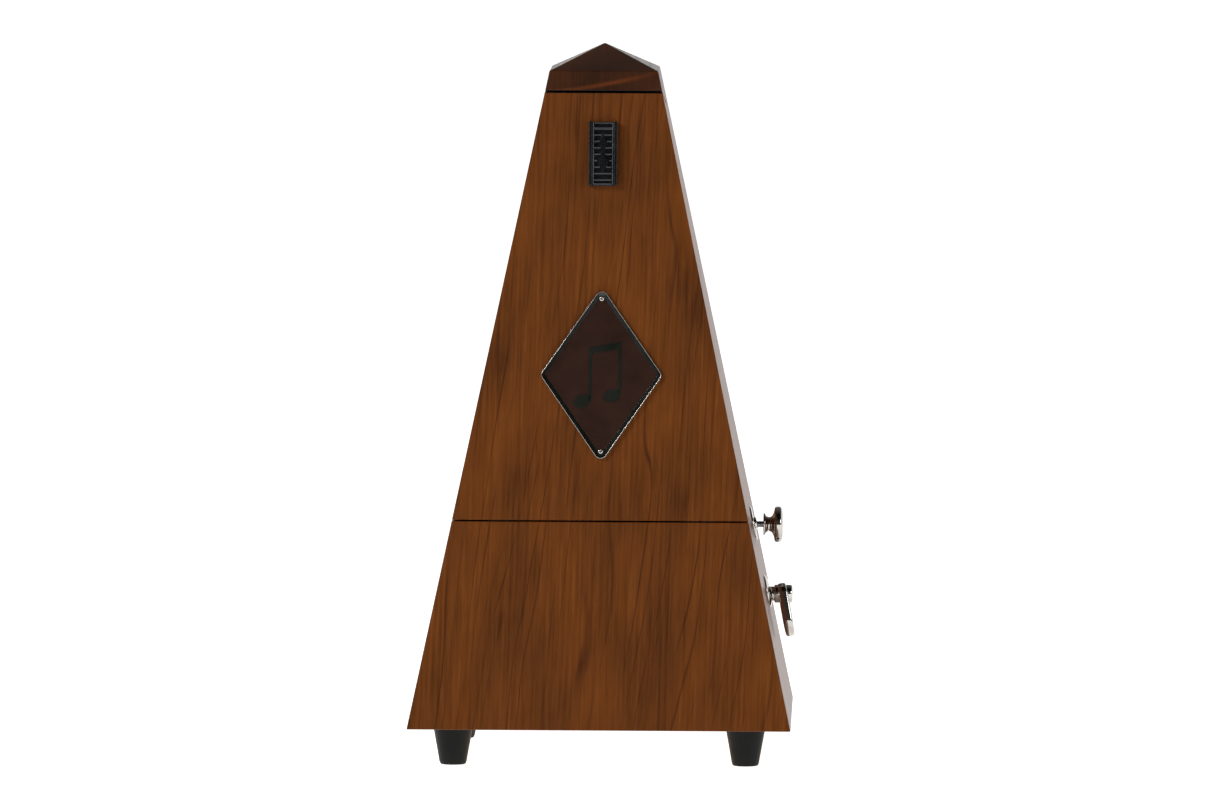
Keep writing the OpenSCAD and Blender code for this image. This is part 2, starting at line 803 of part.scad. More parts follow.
module pendulum_rod() {
    steel() on_face(-pivot_drop - 46)
        translate([-rod_w / 2, 0, -rod_d - rod_t / 2]) cube([rod_w, 46 + rod_up, rod_t]);
}

module pendulum_bob() {
    r = bob_r;
    yellow() difference() {
        on_face(-pivot_drop - bob_drop) translate([0, 0, -15]) rotate_extrude()
            polygon([[0, 0], [r - 0.8, 0], [r, 0.8], [r, 8.2], [r - 0.8, 9], [0, 9]]);
        rod_slot(0.01);
    }
}

module tempo_weight() {
    yellow() difference() {
        on_face(weight_r - pivot_drop) translate([0, 0, -13.5]) linear_extrude(6)
            polygon([[-6, -7], [6, -7], [8, 7], [-8, 7]]);
        rod_slot(0.1);
    }
}

// ---- Bell ----

module bell() {
    r = bell_r;
    curve = [for (a = [0:10:80]) [r * cos(a), 2.5 + (bell_h - 2.5) * sin(a)]];
    inside = [for (a = [80:-10:0]) [(r - 1.1) * cos(a), 2.5 + (bell_h - 3.6) * sin(a)]];
    bright() translate([bell_c[0], bell_c[1], bell_z]) rotate_extrude()
        polygon(concat([[r, 0]], curve, [[1.32, bell_h], [1.32, bell_h - 1.1]], inside,
                       [[r - 1.1, 0]]));
}

// Arm from the back panel with the stud and nuts that hold the bell
module bell_post() {
    z = bell_z + bell_h;
    steel() difference() {
        union() {
            along_x(bell_c[0] - 4, 8) polygon([[bell_c[1] - 4, z],
                [half(z) - wall_t - 1.5, z], [half(z - 9) - wall_t - 1.5, z - 9],
                [half(z - 9) - wall_t, z - 9], [half(z + 9) - wall_t, z + 9],
                [half(z + 9) - wall_t - 1.5, z + 9], [half(z + 1.6) - wall_t - 1.5, z + 1.6],
                [bell_c[1] - 4, z + 1.6]]);
            translate([bell_c[0], bell_c[1], z - 3]) cylinder(h = 6.8, r = 1.3);
            translate([bell_c[0], bell_c[1], z + 1.5]) cylinder(h = 1.7, r = 2.8, $fn = 6);
            translate([bell_c[0], bell_c[1], z - 2.8]) cylinder(h = 1.45, r = 2.8, $fn = 6);
        }
        bell_bolts(0.01);
    }
    steel() bell_bolts();
}

module bell_bolts(g = 0) {
    for (s = [-1, 1]) {
        z = bell_z + bell_h + s * 5.5;
        translate([bell_c[0], half(z) - wall_t, z]) rotate([90 + lean, 0, 0]) {
            translate([0, 0, -3.5]) cylinder(h = 5.2, r = 0.8 + g);
            translate([0, 0, 1.5]) cylinder(h = 0.9, r = 1.8 + g);
        }
    }
}

back_panel();
left_panel();
right_panel();
lower_front_panel();
base_board();
top_cap();
glue_blocks();
feet();
foot_screws();
scale_board();
scale_plate();
scale_screws();
rod_clip();
door_panel();
door_cheeks();
door_tabs();
tab_screws();
nameplate();
nameplate_field();
nameplate_pins();
latch_frame();
latch_slider();
latch_bolt();
knob_rosette();
key_rosette();
left_plate();
right_plate();
pillars();
pillar_nuts();
movement_screws();
front_bridge();
rear_cock();
potence();
bracket_screws();
detent_spring();
pull_rod();
pull_knob();
hammer();
winding_arbor();
winding_key();
ratchet_wheel();
click();
click_spring();
barrel();
barrel_cover();
great_wheel();
mainspring();
second_arbor();
second_wheel();
escape_arbor();
crown_wheel();
beat_cams();
verge_staff();
pendulum_hub();
pendulum_rod();
pendulum_bob();
tempo_weight();
bell();
bell_post();
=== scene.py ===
import json
import math
import bmesh
import bpy
from mathutils import Matrix, Vector


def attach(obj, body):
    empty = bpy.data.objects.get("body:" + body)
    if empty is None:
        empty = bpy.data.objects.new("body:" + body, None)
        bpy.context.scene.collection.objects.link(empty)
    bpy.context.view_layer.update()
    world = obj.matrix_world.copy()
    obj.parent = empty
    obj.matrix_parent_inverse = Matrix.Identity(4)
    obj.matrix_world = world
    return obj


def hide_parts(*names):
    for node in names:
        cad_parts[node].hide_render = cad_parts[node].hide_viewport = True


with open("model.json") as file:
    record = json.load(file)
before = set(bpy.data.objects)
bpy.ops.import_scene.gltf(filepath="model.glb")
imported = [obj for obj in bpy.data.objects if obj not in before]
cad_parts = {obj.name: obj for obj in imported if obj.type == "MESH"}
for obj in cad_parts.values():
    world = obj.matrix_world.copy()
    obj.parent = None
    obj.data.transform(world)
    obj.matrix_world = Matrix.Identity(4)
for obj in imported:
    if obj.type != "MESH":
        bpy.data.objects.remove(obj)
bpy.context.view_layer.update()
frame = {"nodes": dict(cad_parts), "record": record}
nodes = frame["nodes"]
mm = 0.001
print("frame loaded:", len(nodes), "CAD nodes")

case = {"slope": 0.21, "halfBase": 58 * mm, "footHeight": 11.7 * mm, "splitHeight": 74.1 * mm,
        "sideY": 4 * mm, "keyHeight": 48.4 * mm, "knobHeight": 69.7 * mm}
lean = math.atan(case["slope"])


def halfWidth(z):
    return case["halfBase"] - case["slope"] * (z - case["footHeight"])


def basis(origin, x, y, z):
    return Matrix([[x[i], y[i], z[i], origin[i]] for i in range(3)] + [[0, 0, 0, 1]])


# a place on the leaning front, that many metres up it: X stays X, Y runs up the front, Z points out
def faceFrame(height):
    up = Vector((0, math.sin(lean), math.cos(lean)))
    origin = Vector((0, -halfWidth(case["splitHeight"]), case["splitHeight"])) + up * height
    return basis(origin, (1, 0, 0), up, (0, -math.cos(lean), math.sin(lean)))


def wallFrame(z):
    return basis((halfWidth(z), case["sideY"], z), (math.sin(lean), 0, -math.cos(lean)), (0, 1, 0),
                 (math.cos(lean), 0, math.sin(lean)))


def alongX(y, z):
    return basis((0, y, z), (0, 1, 0), (0, 0, 1), (1, 0, 0))


def colour(hexText, alpha=1):
    parts = [int(hexText[i:i + 2], 16) / 255 for i in (1, 3, 5)]
    return [p / 12.92 if p <= 0.04045 else ((p + 0.055) / 1.055) ** 2.4 for p in parts] + [alpha]


def addNode(tree, kind, values=None, stops=None, **settings):
    node = tree.nodes.new(kind)
    for key, value in settings.items():
        setattr(node, key, value)
    for key, value in (values or {}).items():
        if isinstance(value, bpy.types.NodeSocket):
            tree.links.new(value, node.inputs[key])
        else:
            node.inputs[key].default_value = value
    if stops:
        ramp = node.color_ramp.elements
        while len(ramp) < len(stops):
            ramp.new(0.5)
        for element, (place, shade) in zip(ramp, stops):
            element.position = place
            element.color = colour(shade)
    return node


def newMaterial(name, **base):
    material = bpy.data.materials.new(name)
    material.use_nodes = True
    shader = material.node_tree.nodes["Principled BSDF"]
    for key, value in base.items():
        shader.inputs[key.replace("_", " ")].default_value = value
    return material, material.node_tree, shader


# sliced veneer under a satin lacquer: fibres, thin dark growth lines and short pores
def woodFinish(name, look):
    material, tree, shader = newMaterial(name, Coat_Weight=look["coat"], Coat_Roughness=0.2,
                                         Specular_IOR_Level=look["specular"])
    place = addNode(tree, "ShaderNodeTexCoord")
    split = addNode(tree, "ShaderNodeSeparateXYZ", {0: place.outputs["Object"]})
    facing = addNode(tree, "ShaderNodeSeparateXYZ", {0: place.outputs["Normal"]})
    sideways = addNode(tree, "ShaderNodeMath", {0: facing.outputs["X"]}, operation="ABSOLUTE")
    onSide = addNode(tree, "ShaderNodeMath", {0: sideways.outputs[0], 1: 0.7},
                     operation="GREATER_THAN")
    across = addNode(tree, "ShaderNodeMix", {0: onSide.outputs[0], 2: split.outputs["X"],
                                             3: split.outputs["Y"]})
    flat = addNode(tree, "ShaderNodeCombineXYZ", {"X": across.outputs[0], "Y": split.outputs["Z"],
                                                  "Z": onSide.outputs[0]})
    bend = addNode(tree, "ShaderNodeTexNoise", {"Vector": flat.outputs[0], "Scale": look["bendScale"],
                                                "Detail": 1.0})
    centred = addNode(tree, "ShaderNodeVectorMath", {0: bend.outputs["Color"], 1: (0.5, 0.5, 0.5)},
                      operation="SUBTRACT")
    scaled = addNode(tree, "ShaderNodeVectorMath", {0: centred.outputs[0], "Scale": look["wave"]},
                     operation="SCALE")
    bent = addNode(tree, "ShaderNodeVectorMath", {0: flat.outputs[0], 1: scaled.outputs[0]},
                   operation="ADD")
    grain = addNode(tree, "ShaderNodeMapping", {"Vector": bent.outputs[0],
                                                "Rotation": (0, 0, math.radians(look["lean"])),
                                                "Location": look["shift"]})
    plumb = addNode(tree, "ShaderNodeMapping", {"Vector": flat.outputs[0],
                                                "Rotation": (0, 0, math.radians(look["fibreLean"]))})

    def pattern(width, length, detail, rough=0.55, source=grain):
        stretched = addNode(tree, "ShaderNodeMapping", {"Vector": source.outputs[0],
                                                        "Scale": (1 / (width * mm), 1 / (length * mm), 3)})
        return addNode(tree, "ShaderNodeTexNoise", {"Vector": stretched.outputs[0], "Scale": 1.0,
                                                    "Detail": detail, "Roughness": rough})

    cloud = pattern(15, 36, 3, 0.5)                # soft light and dark figure
    fibre = pattern(0.9, 34, 5, 0.65, plumb)       # fibres about a millimetre apart
    warp = pattern(24, 150, 2, 0.4)                # how far the growth lines drift
    present = pattern(7, 60, 2, 0.5)               # where those lines show
    pore = pattern(0.5, 7, 2, 0.5, plumb)          # open pores, drawn a little wide so that they show
    blend = addNode(tree, "ShaderNodeMix", {0: look["fibreShare"], 2: cloud.outputs[0],
                                            3: fibre.outputs[0]})
    body = addNode(tree, "ShaderNodeValToRGB", {0: blend.outputs[0]}, stops=look["body"])
    alongGrain = addNode(tree, "ShaderNodeSeparateXYZ", {0: grain.outputs[0]})
    count = addNode(tree, "ShaderNodeMath", {0: alongGrain.outputs["X"], 1: 1 / (look["lineGap"] * mm)},
                    operation="MULTIPLY")
    drift = addNode(tree, "ShaderNodeMath", {0: warp.outputs[0], 1: look["drift"], 2: count.outputs[0]},
                    operation="MULTIPLY_ADD")
    phase = addNode(tree, "ShaderNodeMath", {0: drift.outputs[0]}, operation="FRACT")
    contour = addNode(tree, "ShaderNodeValToRGB", {0: phase.outputs[0]}, stops=look["lines"])
    shown = addNode(tree, "ShaderNodeMapRange", {0: present.outputs[0], 1: 0.4, 2: 0.58,
                                                 3: 0.05, 4: look["lineDepth"]})
    dark = addNode(tree, "ShaderNodeMath", {0: contour.outputs[0], 1: shown.outputs[0]},
                   operation="MULTIPLY")
    lined = addNode(tree, "ShaderNodeMix", {0: dark.outputs[0], 6: body.outputs[0],
                                            7: colour(look["streak"])}, data_type="RGBA")
    dash = addNode(tree, "ShaderNodeValToRGB", {0: pore.outputs[0]},
                   stops=[(0.56, "#000000"), (0.7, look["poreDepth"])])
    pored = addNode(tree, "ShaderNodeMix", {0: dash.outputs[0], 6: lined.outputs[2],
                                            7: colour(look["pore"])}, data_type="RGBA")
    # painted shade: edges that sit in the seam under the cap are coloured black, standing in for the
    # shadow in that gap
    edge = addNode(tree, "ShaderNodeMath", {0: split.outputs["Z"], 1: look["blackBelow"] * mm},
                   operation="LESS_THAN")
    above = addNode(tree, "ShaderNodeMath", {0: split.outputs["Z"], 1: look["blackAbove"] * mm},
                    operation="GREATER_THAN")
    # how far a point lies in from the leaning side walls, so that their faces stay brown
    fromMiddle = addNode(tree, "ShaderNodeMath", {0: split.outputs["X"]}, operation="ABSOLUTE")
    plumbed = addNode(tree, "ShaderNodeMath", {0: split.outputs["Z"], 1: case["slope"],
                                               2: fromMiddle.outputs[0]}, operation="MULTIPLY_ADD")
    inside = addNode(tree, "ShaderNodeMath", {0: plumbed.outputs[0], 1: look["blackInside"] * mm},
                     operation="LESS_THAN")
    top = addNode(tree, "ShaderNodeMath", {0: above.outputs[0], 1: inside.outputs[0]},
                  operation="MULTIPLY")
    # painted shade of the seam, below or above the given heights and away from the side walls' outer faces
    seamShade = addNode(tree, "ShaderNodeMath", {0: edge.outputs[0], 1: top.outputs[0]},
                    operation="MAXIMUM")
    seamShaded = addNode(tree, "ShaderNodeMix", {0: seamShade.outputs[0], 6: pored.outputs[2],
                                              7: colour("#080706")}, data_type="RGBA")
    tree.links.new(seamShaded.outputs[2], shader.inputs["Base Color"])
    sheen = addNode(tree, "ShaderNodeMapRange", {0: fibre.outputs[0], 1: 0.3, 2: 0.7,
                                                 3: look["gloss"] - 0.05, 4: look["gloss"] + 0.07})
    tree.links.new(sheen.outputs[0], shader.inputs["Roughness"])
    relief = addNode(tree, "ShaderNodeMath", {0: dash.outputs[0], 1: -0.8, 2: fibre.outputs[0]},
                     operation="MULTIPLY_ADD")
    bump = addNode(tree, "ShaderNodeBump", {"Height": relief.outputs[0], "Distance": 0.03 * mm,
                                            "Strength": look["relief"]})
    tree.links.new(bump.outputs[0], shader.inputs["Normal"])
    return material


# plated or bare metal: fine polishing or machining lines vary its roughness
def metalFinish(name, look):
    material, tree, shader = newMaterial(name, Metallic=1.0, Roughness=look["rough"])
    place = addNode(tree, "ShaderNodeTexCoord")
    lines = addNode(tree, "ShaderNodeMapping", {"Vector": place.outputs["Object"],
                                                "Scale": [1 / (s * mm) for s in look["lines"]]})
    brushed = addNode(tree, "ShaderNodeTexNoise", {"Vector": lines.outputs[0], "Scale": 1.0,
                                                   "Detail": 4.0})
    cloud = addNode(tree, "ShaderNodeTexNoise", {"Vector": place.outputs["Object"],
                                                 "Scale": 1 / (9 * mm), "Detail": 3.0})
    tint = addNode(tree, "ShaderNodeValToRGB", {0: cloud.outputs[0]},
                   stops=[(0.3, look["low"]), (0.7, look["high"])])
    tree.links.new(tint.outputs[0], shader.inputs["Base Color"])
    worn = addNode(tree, "ShaderNodeMath", {0: brushed.outputs[0], 1: cloud.outputs[0]},
                   operation="MULTIPLY")
    rough = addNode(tree, "ShaderNodeMapRange", {0: worn.outputs[0], 1: 0.1, 2: 0.45,
                                                 3: look["rough"] * 0.75, 4: look["rough"] * 1.35})
    tree.links.new(rough.outputs[0], shader.inputs["Roughness"])
    bump = addNode(tree, "ShaderNodeBump", {"Height": brushed.outputs[0], "Distance": 0.01 * mm,
                                            "Strength": look["relief"]})
    tree.links.new(bump.outputs[0], shader.inputs["Normal"])
    return material


# moulded or rubbery surface: a fine pebble in the relief and a cloudy gloss
def mouldedFinish(name, look):
    material, tree, shader = newMaterial(name, Roughness=look["rough"],
                                         Specular_IOR_Level=look["specular"],
                                         Coat_Weight=look["coat"], Coat_Roughness=0.05)
    place = addNode(tree, "ShaderNodeTexCoord")
    pebble = addNode(tree, "ShaderNodeTexNoise", {"Vector": place.outputs["Object"],
                                                  "Scale": 1 / (look["pebble"] * mm), "Detail": 3.0})
    cloud = addNode(tree, "ShaderNodeTexNoise", {"Vector": place.outputs["Object"],
                                                 "Scale": 1 / (7 * mm), "Detail": 3.0})
    tint = addNode(tree, "ShaderNodeValToRGB", {0: cloud.outputs[0]},
                   stops=[(0.3, look["low"]), (0.7, look["high"])])
    tree.links.new(tint.outputs[0], shader.inputs["Base Color"])
    rough = addNode(tree, "ShaderNodeMapRange", {0: cloud.outputs[0], 1: 0.3, 2: 0.7,
                                                 3: look["rough"] * 0.85, 4: look["rough"] * 1.15})
    tree.links.new(rough.outputs[0], shader.inputs["Roughness"])
    bump = addNode(tree, "ShaderNodeBump", {"Height": pebble.outputs[0], "Distance": 0.02 * mm,
                                            "Strength": look["relief"]})
    tree.links.new(bump.outputs[0], shader.inputs["Normal"])
    return material


# walnut-stained veneer, satin lacquered: warm mid brown, the grain leans a few degrees
veneer = {"lean": 7.5, "fibreLean": 1.5, "wave": 0.004, "bendScale": 7.0, "shift": (0.31, 0.02, 0),
          "coat": 0.0, "specular": 0.24, "gloss": 0.34, "relief": 0.3, "fibreShare": 0.54,
          "lineGap": 9, "drift": 3.2, "lineDepth": 1.0, "blackBelow": -9, "blackAbove": 999,
          "blackInside": 999, "poreDepth": "#6a6a6a", "streak": "#331606", "pore": "#381a08",
          "lines": [(0.0, "#e8e8e8"), (0.045, "#101010"), (0.1, "#000000"), (0.3, "#000000"),
                    (0.34, "#c8c8c8"), (0.37, "#303030"), (0.42, "#000000"), (0.62, "#000000"),
                    (0.66, "#808080"), (0.69, "#000000"), (0.96, "#000000"), (1.0, "#e8e8e8")],
          "body": [(0.34, "#45230b"), (0.45, "#5b300e"), (0.54, "#663610"), (0.68, "#784214")]}
walnutVeneer = woodFinish("walnutVeneer", veneer)
# the door's edge under the cap is painted black, as painted shade of the seam
doorVeneer = woodFinish("doorVeneer", {**veneer, "blackAbove": 202.4})
# so are the tips of the side walls, all but their outer faces, as painted shade
wallVeneer = woodFinish("wallVeneer", {**veneer, "blackAbove": 202.4, "blackInside": 60.2})
# the cap is darker, with its grain lying level and rising to the right; its lower edge band is painted
# black as painted shade of the seam under it
darkCapWood = woodFinish("darkCapWood", {
    "lean": 83, "fibreLean": 2, "wave": 0.005, "bendScale": 14.0, "shift": (0.1142, 0.388, 0),
    "coat": 0.0, "specular": 0.2, "gloss": 0.34, "relief": 0.3, "fibreShare": 0.35,
    "lineGap": 11, "drift": 1.6, "lineDepth": 0.95, "blackBelow": 203.3, "blackAbove": 999,
    "blackInside": 999, "poreDepth": "#505050", "streak": "#6b3414", "pore": "#1e100a",
    "lines": [(0.0, "#000000"), (0.4, "#000000"), (0.5, "#ffffff"), (0.6, "#000000"), (0.8, "#404040"),
              (1.0, "#000000")],
    "body": [(0.36, "#2b170c"), (0.46, "#371d0f"), (0.55, "#402310"), (0.68, "#512a12")]})
# planed, unlacquered spruce of the parts that aren't seen
plainSpruce = woodFinish("plainSpruce", {
    **veneer, "lean": 1, "fibreLean": 1, "shift": (0.7, 0.1, 0), "gloss": 0.6, "lineGap": 5,
    "drift": 1.5, "lineDepth": 0.5, "poreDepth": "#303030", "streak": "#9a7344", "pore": "#8a6236",
    "body": [(0.36, "#a8814f"), (0.45, "#bd9763"), (0.55, "#caa774"), (0.68, "#d6b888")]})
# polished nickel plate: neutral mirror with faint polishing haze
nickelPlate = metalFinish("nickelPlate", {
    "rough": 0.09, "lines": (0.4, 0.4, 6), "low": "#b9b5ae", "high": "#d2cfca", "relief": 0.06})
# satin clock brass, lacquered
clockBrass = metalFinish("clockBrass", {
    "rough": 0.26, "lines": (3, 0.15, 3), "low": "#b08a45", "high": "#c9a35c", "relief": 0.2})
# bare ground steel
groundSteel = metalFinish("groundSteel", {
    "rough": 0.3, "lines": (0.2, 3, 3), "low": "#8f9194", "high": "#a9abae", "relief": 0.2})
# satin anodised aluminium of the scale
satinAluminium = metalFinish("satinAluminium", {
    "rough": 0.38, "lines": (6, 0.12, 0.12), "low": "#c9c8c2", "high": "#dad9d3", "relief": 0.15})
# moulded ABS of the latch, fine spark texture
blackPlastic = mouldedFinish("blackPlastic", {
    "rough": 0.3, "specular": 0.4, "coat": 0.0, "pebble": 0.35, "low": "#0b0c0d",
    "high": "#121416", "relief": 0.2})
# the latch's ribs and rails, smoother, and painted a paler grey as a painted highlight on their lit tops
ribHighlightPlastic = mouldedFinish("ribHighlightPlastic", {
    "rough": 0.24, "specular": 0.6, "coat": 0.0, "pebble": 0.35, "low": "#303236",
    "high": "#42454a", "relief": 0.15})
# turned or moulded black feet, a bit duller
blackRubber = mouldedFinish("blackRubber", {
    "rough": 0.5, "specular": 0.16, "coat": 0.0, "pebble": 0.6, "low": "#0a0d0d",
    "high": "#0f1212", "relief": 0.3})
# deep brown enamel under a clear glossy lacquer
brownEnamel = mouldedFinish("brownEnamel", {
    "rough": 0.14, "specular": 0.5, "coat": 0.0, "pebble": 1.2, "low": "#2a1a14",
    "high": "#33201a", "relief": 0.03})
# black enamel of the nameplate's bevel
blackEnamel = mouldedFinish("blackEnamel", {
    "rough": 0.12, "specular": 0.5, "coat": 0.0, "pebble": 1.2, "low": "#0c0f0c",
    "high": "#151914", "relief": 0.03})
# screen-printed black of the figures
printedBlack = mouldedFinish("printedBlack", {
    "rough": 0.3, "specular": 0.4, "coat": 0.0, "pebble": 0.3, "low": "#12150f",
    "high": "#191b16", "relief": 0.05})
print("materials made")


def asObject(name, mesh):
    piece = bpy.data.objects.new(name, mesh)
    bpy.context.scene.collection.objects.link(piece)
    return piece


def finishPiece(piece, body, material=None, hides=()):
    if material:
        piece.data.materials.clear()
        piece.data.materials.append(material)
    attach(piece, body)
    if hides:
        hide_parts(*hides)
    return piece


def meshFrom(name, verts, faces, matrix=None, smooth=True):
    mesh = bpy.data.meshes.new(name)
    mesh.from_pydata([list(v) for v in verts], [], faces)
    work = bmesh.new()
    work.from_mesh(mesh)
    bmesh.ops.remove_doubles(work, verts=work.verts, dist=1e-7)
    bmesh.ops.recalc_face_normals(work, faces=work.faces)
    for face in work.faces:
        face.smooth = smooth
    work.to_mesh(mesh)
    work.free()
    if matrix:
        mesh.transform(matrix)
    return mesh


def easeEdges(piece, width, segments=2, angle=28):
    bevel = piece.modifiers.new("easedEdges", "BEVEL")
    bevel.width = width * mm
    bevel.segments = segments
    bevel.limit_method = "ANGLE"
    bevel.angle_limit = math.radians(angle)
    bevel.harden_normals = True
    bevel.use_clamp_overlap = True
    return piece


# a CAD node's own shape, with its sharp edges eased
def easedCopy(node, name, width, segments=2):
    mesh = nodes[node].data.copy()
    mesh.name = name
    if "custom_normal" in mesh.attributes:
        mesh.attributes.remove(mesh.attributes["custom_normal"])
    work = bmesh.new()
    work.from_mesh(mesh)
    bmesh.ops.remove_doubles(work, verts=work.verts, dist=2e-6)
    bmesh.ops.dissolve_limit(work, angle_limit=math.radians(0.4), verts=work.verts,
                             edges=work.edges)
    for face in work.faces:
        face.smooth = True
    work.to_mesh(mesh)
    work.free()
    return easeEdges(asObject(name, mesh), width, segments)


# smooth line through a few points, for turned profiles
def curveThrough(points, steps):
    line = []
    for i in range(len(points) - 1):
        a, b = Vector(points[max(i - 1, 0)]), Vector(points[i])
        c, d = Vector(points[i + 1]), Vector(points[min(i + 2, len(points) - 1)])
        for k in range(steps):
            t = k / steps
            line.append(0.5 * (2 * b + (c - a) * t + (2 * a - 5 * b + 4 * c - d) * t * t
                               + (3 * b - a - 3 * c + d) * t ** 3))
    return line + [Vector(points[-1])]


# a profile of (radius, height) in millimetres, turned about local Z and closed at its ends
def turned(name, profile, matrix, steps=64):
    verts, faces = [], []
    for radius, height in profile:
        for k in range(steps):
            angle = 2 * math.pi * k / steps
            verts.append((radius * math.cos(angle) * mm, radius * math.sin(angle) * mm, height * mm))
    rings = len(profile)
    for i in range(rings - 1):
        for k in range(steps):
            after = (k + 1) % steps
            faces.append((i * steps + k, i * steps + after, (i + 1) * steps + after,
                          (i + 1) * steps + k))
    ends = () if profile[0] == profile[-1] else (0, rings - 1)
    for i in ends:
        if profile[i][0] > 1e-6:
            faces.append([i * steps + k for k in range(steps)])
    return meshFrom(name, verts, faces, matrix)


def joined(name, meshes):
    work = bmesh.new()
    for mesh in meshes:
        work.from_mesh(mesh)
    result = bpy.data.meshes.new(name)
    work.to_mesh(result)
    work.free()
    return asObject(name, result)


# a flat outline in millimetres, given thickness along local Z
def extruded(name, outline, low, high, matrix):
    count = len(outline)
    verts = [(x * mm, y * mm, z * mm) for z in (low, high) for x, y in outline]
    faces = [list(range(count)), list(range(count, 2 * count))]
    faces += [(k, (k + 1) % count, count + (k + 1) % count, count + k) for k in range(count)]
    return meshFrom(name, verts, faces, matrix, smooth=False)


# Geometry Nodes row: one bar on each place, as (width, length, thickness)
def barRow(name, places, size, material, matrix):
    tree = bpy.data.node_groups.new(name, "GeometryNodeTree")
    for label, kind in (("Geometry", "NodeSocketGeometry"), ("Width", "NodeSocketFloat"),
                        ("Length", "NodeSocketFloat"), ("Thickness", "NodeSocketFloat"),
                        ("Finish", "NodeSocketMaterial")):
        tree.interface.new_socket(label, in_out="INPUT", socket_type=kind)
    tree.interface.new_socket("Geometry", in_out="OUTPUT", socket_type="NodeSocketGeometry")
    given = addNode(tree, "NodeGroupInput")
    size3 = addNode(tree, "ShaderNodeCombineXYZ", {"X": given.outputs["Width"],
                                                   "Y": given.outputs["Length"],
                                                   "Z": given.outputs["Thickness"]})
    bar = addNode(tree, "GeometryNodeMeshCube", {"Size": size3.outputs[0]})
    stretch = addNode(tree, "GeometryNodeInputNamedAttribute", {"Name": "stretch"},
                      data_type="FLOAT_VECTOR")
    copies = addNode(tree, "GeometryNodeInstanceOnPoints", {"Points": given.outputs["Geometry"],
                                                            "Instance": bar.outputs["Mesh"],
                                                            "Scale": stretch.outputs[0]})
    real = addNode(tree, "GeometryNodeRealizeInstances", {0: copies.outputs[0]})
    paint = addNode(tree, "GeometryNodeSetMaterial", {"Geometry": real.outputs[0],
                                                      "Material": given.outputs["Finish"]})
    addNode(tree, "NodeGroupOutput", {0: paint.outputs[0]})
    points = bpy.data.meshes.new(name)
    points.from_pydata([(x * mm, y * mm, z * mm) for x, y, z, *_ in places], [], [])
    layer = points.attributes.new("stretch", "FLOAT_VECTOR", "POINT")
    layer.data.foreach_set("vector", [v for p in places for v in (p[3] if len(p) > 3 else (1, 1, 1))])
    row = asObject(name + "Row", points)
    maker = row.modifiers.new("row", "NODES")
    maker.node_group = tree
    inputs = {s.name: s.identifier for s in tree.interface.items_tree if s.in_out == "INPUT"}
    for label, value in (("Width", size[0] * mm), ("Length", size[1] * mm),
                         ("Thickness", size[2] * mm), ("Finish", material)):
        maker[inputs[label]] = value
    bpy.context.view_layer.update()
    shape = row.evaluated_get(bpy.context.evaluated_depsgraph_get())
    mesh = bpy.data.meshes.new_from_object(shape)
    bpy.data.objects.remove(row)
    mesh.transform(matrix)
    mesh.name = name
    return mesh


panels = {"edge": 0.22,
          "list": [("back_panel", "backPanel", "case", walnutVeneer),
                   ("left_panel", "leftPanel", "case", wallVeneer),
                   ("right_panel", "rightPanel", "case", wallVeneer),
                   ("lower_front_panel", "lowerFrontPanel", "case", walnutVeneer),
                   ("door_panel", "doorPanel", "door", doorVeneer),
                   ("door_cheeks", "doorCheeks", "door", doorVeneer)]}
for node, name, body, finish in panels["list"]:
    finishPiece(easedCopy(node, name, panels["edge"]), body, finish, [node])
finishPiece(easedCopy("top_cap", "topCap", 0.3), "case", darkCapWood, ["top_cap"])
for node, name in (("base_board", "baseBoard"), ("glue_blocks", "glueBlocks"),
                   ("scale_board", "scaleBoard")):
    finishPiece(easedCopy(node, name, 0.4), "case", plainSpruce, [node])
print("case panels done")

foot = {"top": 6.05, "bottom": 4.0, "height": 11.7, "round": 0.6, "x": 44.3, "y": 43,
        "bore": 2.6, "boreTop": 3.2, "boreDepth": 5.0, "screwHole": 1.45}
slopeIn = (foot["top"] - foot["bottom"]) / foot["height"]
profile = [(foot["screwHole"], foot["height"]), (foot["top"] - 0.25, foot["height"]),
           (foot["top"] - 0.04, foot["height"] - 0.25)]
profile += [(foot["bottom"] + slopeIn * h, h) for h in (9, 6, 3, 0.9)]
profile += [(foot["bottom"] - foot["round"] * (1 - math.cos(math.radians(a))),
             foot["round"] * (1 - math.sin(math.radians(a)))) for a in (15, 40, 65, 90)]
profile += [(foot["bore"] + 0.2, 0), (foot["bore"], 0.25), (foot["boreTop"], foot["boreDepth"]),
            (foot["screwHole"], foot["boreDepth"]), (foot["screwHole"], foot["height"])]
feetMeshes = [turned("foot", profile, Matrix.Translation((sx * foot["x"] * mm, sy * foot["y"] * mm, 0)))
              for sx in (-1, 1) for sy in (-1, 1)]
finishPiece(easeEdges(joined("caseFeet", feetMeshes), 0.12), "case", blackRubber, ["feet"])
print("feet done")

plate = {"height": (117.7 - 74.1) / math.cos(lean), "width": 36.4, "length": 51.2, "corner": 2.0,
         "rim": 0.3, "bevel": 1.35, "pinReach": 23.35, "pinLift": 0.32}


def lozenge(inset, steps=10):
    a, b = plate["width"] / 2 - plate["corner"], plate["length"] / 2 - plate["corner"]
    turn, r = math.atan2(a, b), plate["corner"] - inset
    spans = [((a, 0), -turn, turn), ((0, b), turn, math.pi - turn),
             ((-a, 0), math.pi - turn, math.pi + turn), ((0, -b), math.pi + turn, 2 * math.pi - turn)]
    return [(c[0] + r * math.cos(s + (e - s) * k / steps), c[1] + r * math.sin(s + (e - s) * k / steps))
            for c, s, e in spans for k in range(steps + 1)]


